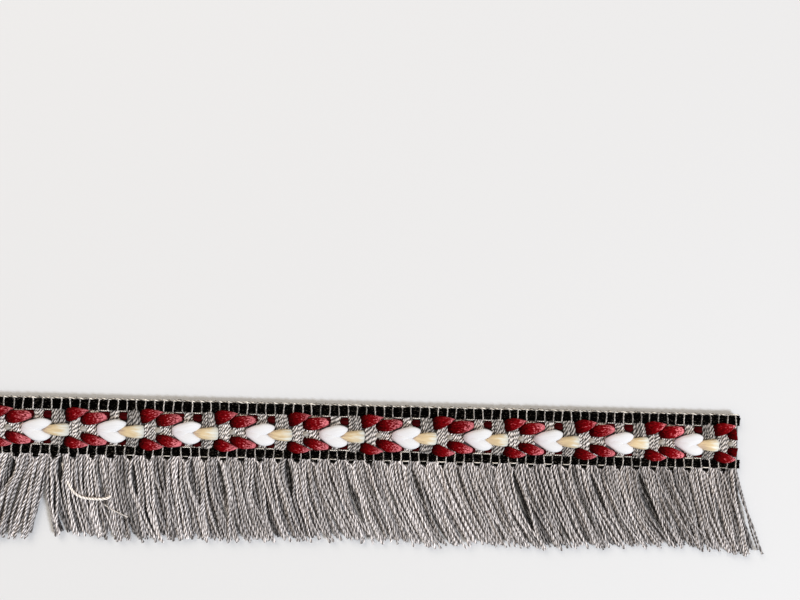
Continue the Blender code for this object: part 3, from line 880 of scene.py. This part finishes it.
def fringePaths(layer, offset, rng):
    look = fringeSettings
    perBundle = layer["perBundle"]
    seats = (np.arange(perBundle) + 0.5 + offset) / perBundle - 0.5
    bundle = np.repeat(bundlePlaces, perBundle)
    reach = np.tile(seats, len(bundlePlaces)) * loopSettings["every"]
    reach = reach + eitherWay(rng, look["rootJitter"], len(bundle))
    root = bundle + reach
    inside = (root > leftEnd + look["endInset"]) & (root < rightEnd - look["endInset"])
    bundle, reach, root = bundle[inside], reach[inside], root[inside]
    count = len(root)
    share = np.linspace(0, 1, layer["rings"])[None]

    def eachYarn(low, high):
        return rng.uniform(low, high, count)[:, None]

    roots, shifts, drops, shades = np.array(sweepKnots).T
    drop = np.interp(root, roots, drops) - layer["shorter"]
    drop = drop + rng.normal(0, look["ragged"], count).clip(*look["raggedRange"])
    lean, bend, lockShade = lockShapes(root, rng, layer)
    tip = root + np.interp(root, roots, shifts) + lean + rng.normal(0, layer["stray"], count)
    parting = look["parting"]
    beside = rng.exponential(parting["scatter"], count)
    rightward = root > parting["root"]
    leftTip = np.minimum(tip, parting["left"] - beside)
    rightTip = np.maximum(tip, parting["right"] + beside)
    tip = np.where(rightward, rightTip, leftTip)
    near = np.clip(1 - np.abs(root - parting["root"]) / parting["reach"], 0, 1)
    curve = look["curve"] + rng.uniform(*look["curveRange"], count)
    curve = curve + np.where(rightward, parting["rightCurve"], parting["leftCurve"]) * near
    bend = bend * (1 - near) + np.where(rightward, parting["rightBend"], 0) * near

    # each yarn wanders a little between its root and its tip
    slow = np.sin(share * eachYarn(*look["slowWaves"]) + eachYarn(0, 6))
    quick = np.sin(share * eachYarn(*look["quickWaves"]) + eachYarn(0, 6))
    wander = look["wander"] * (slow + look["quickShare"] * quick)
    wander = wander + (bend + rng.normal(0, look["ownBend"], count))[:, None] * np.sin(np.pi * share)
    spread = layer["gather"] + (1 - layer["gather"]) * smoothStep(share / look["gatherLength"])
    x = bundle[:, None] + reach[:, None] * spread + (tip - root)[:, None] * share ** curve[:, None]
    x = x + wander * share ** look["wanderPower"]
    for place, width, start, stop in look["clefts"]:
        away = root - place
        push = layer["opens"] * width * np.sign(away) * np.exp(-np.abs(away) / look["cleftReach"])
        x = x + push[:, None] * np.sin(np.pi * np.clip((share - start) / (stop - start), 0, 1))
        # painted shade: the lowest layer is darkened where it shows in a cleft
        within = np.exp(-((away / look["cleftReach"]) ** 2))
        lockShade = lockShade + (1 - layer["opens"]) * look["cleftShade"] * within
    y = look["rootY"] - (drop[:, None] - bottomEdge + look["rootY"]) * share
    dive = np.sin(share * eachYarn(*look["diveWaves"]) + eachYarn(0, 6))
    lift = eachYarn(*look["lift"]) + look["dive"] * dive
    settled = smoothStep(share * look["settleRate"])
    z = layer["rootHeight"] + (layer["tipHeight"] - layer["rootHeight"]) * settled
    z = z + layer["arch"] * np.sin(np.pi * share) + lift * smoothStep(share * look["liftRate"])
    radii, extra = look["offFloor"]
    z = np.maximum(z, radii * layer["radius"] + extra)  # no yarn sinks into the floor
    tones = rng.uniform(*layer["shade"], count) + lockShade + np.interp(root, roots, shades)
    return np.stack([x, y, z], axis=-1), tones


def fringeYarns(material):
    look = fringeSettings
    rng = np.random.default_rng(12)
    flareFrom, flareLength = look["flareRange"]
    for number, layer in enumerate(look["layers"]):
        paths, tones = fringePaths(layer, 0.5 * (number % 2), rng)
        twist = plyTwist(paths, rng, look["turn"])
        share = np.linspace(0, 1, layer["rings"])
        flare = 1 + look["flare"] * smoothStep((share - flareFrom) / flareLength)
        thick = layer["radius"] * rng.uniform(*look["thickness"], len(paths))[:, None] * flare
        half = len(paths) // 2
        for part, rows in (("Left", slice(0, half)), ("Right", slice(half, None))):
            batch = sweepYarns(
                paths[rows], thick[rows], points=look["points"], twist=twist[rows], waist=look["waist"]
            )
            batch = withTone(batch, tones[rows])
            makePiece(f"fringe{number + 1}{part}", batch, material, ["fringe"])


straySettings = {
    "yarns": [  # loose yarns that lie across the fringe
        {"half": 0.24, "tone": 1.0, "route": [
            (-47.4, -6.2, 0.6), (-46.9, -7.9, 0.75), (-45.9, -9.7, 1.4), (-44.8, -11.0, 1.9),
            (-43.6, -11.75, 1.95), (-42.2, -12.05, 1.95), (-40.4, -12.1, 1.95), (-39.2, -11.95, 1.95),
            (-38.5, -11.55, 1.95),
        ]},
        {"half": 0.14, "tone": 0.4, "route": [
            (-39.9, -13.1, 1.2), (-38.2, -14.0, 1.6), (-36.9, -14.6, 1.6), (-35.6, -15.2, 1.4),
        ]},
    ],
    "rings": 64, "turn": 1.1, "waist": 0.6,
}


def strayYarns(material):
    look = straySettings
    rng = np.random.default_rng(61)
    batches = []
    for yarn in look["yarns"]:
        route = np.array(yarn["route"])
        share = np.linspace(0, len(route) - 1, look["rings"])
        path = np.stack([smoothThrough(route[:, axis], share) for axis in range(3)], axis=-1)[None]
        twist = plyTwist(path, rng, look["turn"])
        batch = sweepYarns(path, yarn["half"], twist=twist, waist=look["waist"])
        batches.append(withTone(batch, [yarn["tone"]]))
    makePiece("strayYarns", joined(batches), material, ["fringe"])


cameraSettings = {
    "place": (2.27, 18.1, 143.6),  # in millimetres, over the trim
    "tilt": (2.23, -3.32, 1.76),  # in degrees, about X, Y and Z
    "lens": 36.0, "sensor": 36.0, "clipStart": 0.005,
}


def placeCamera():
    look = cameraSettings
    camera = addObject("camera", bpy.data.cameras.new("camera"))
    camera.data.lens = look["lens"]
    camera.data.sensor_width = look["sensor"]
    camera.data.clip_start = look["clipStart"]
    camera.location = Vector(look["place"]) * mm
    camera.rotation_euler = Euler([math.radians(angle) for angle in look["tilt"]], "XYZ")
    bpy.context.scene.camera = camera


lightSettings = {
    "key": {"place": (1.8, -1.05, 1.9), "size": 0.75, "power": 58.5, "colour": (0.848, 0.91, 1.0)},
    "fill": {"place": (-0.7, 1.0, 1.1), "size": 1.0, "power": 10.0, "colour": (1.0, 0.93, 0.84)},
    "sky": (1.0, 0.905, 0.78),
    "skyStrength": 0.42,
}


def placeLights():
    for name in ("key", "fill"):
        look = lightSettings[name]
        light = bpy.data.lights.new(name, "AREA")
        light.size = look["size"]
        light.energy = look["power"]
        light.color = look["colour"]
        lamp = addObject(name, light)
        lamp.location = look["place"]
        lamp.rotation_euler = (-Vector(look["place"])).to_track_quat("-Z", "Y").to_euler()
    world = bpy.data.worlds.new("studio")
    world.use_nodes = True
    backdrop = world.node_tree.nodes["Background"]
    backdrop.inputs["Color"].default_value = (*lightSettings["sky"], 1.0)
    backdrop.inputs["Strength"].default_value = lightSettings["skyStrength"]
    scene.world = world
    scene.view_settings.view_transform = "Standard"


floorSettings = {"size": 3.0, "colour": (0.8, 0.81, 0.83), "roughness": 0.6}


def layFloor():
    look = floorSettings
    half = look["size"] / 2
    mesh = bpy.data.meshes.new("floor")
    corners = [(-half, -half, 0), (half, -half, 0), (half, half, 0), (-half, half, 0)]
    mesh.from_pydata(corners, [], [(0, 1, 2, 3)])
    floor = addObject("floor", mesh)
    material = bpy.data.materials.new("paleFloor")
    material.use_nodes = True
    shader = material.node_tree.nodes["Principled BSDF"]
    shader.inputs["Base Color"].default_value = (*look["colour"], 1.0)
    shader.inputs["Roughness"].default_value = look["roughness"]
    mesh.materials.append(material)
    return floor


placeCamera()
placeLights()
floor = layFloor()
print("camera, lights and floor placed")

looks = {
    "grey": greyLook, "bar": barLook, "stray": strayLook, "shadedCream": shadedCreamLook,
    "fineGrey": fineGreyLook, "edge": edgeLook, "black": blackLook, "crimson": crimsonLook,
    "shadedCrimson": shadedLook, "white": whiteLook, "cream": creamLook,
}
materials = {key: yarnMaterial(f"{key}Yarn", look) for key, look in looks.items()}
print("yarn materials made")

cloth = groundCloth(materials["grey"])
weftBars(materials["bar"])
backWefts(materials["grey"])
backFloats("backCrimson", "crimson", materials["shadedCrimson"], 51)
backFloats("backWhite", "white", materials["white"], 52)
backFloats("backCream", "cream", materials["cream"], 53)
edgeBand("upperBand", "upper", materials["black"], "upper_band", 31)
edgeBand("lowerBand", "lower", materials["black"], "lower_band", 32)
edgeLoops(materials["black"], materials["edge"])
bandThreads("upperThreads", upperThreadCorners, materials["fineGrey"], "upper_band", 33)
bandThreads("lowerThreads", lowerThreadCorners, materials["fineGrey"], "lower_band", 34)
runningThreads(materials["edge"])
figureYarns(materials)
print("heading woven")

fringeYarns(materials["grey"])
strayYarns(materials["stray"])
print("fringe laid")
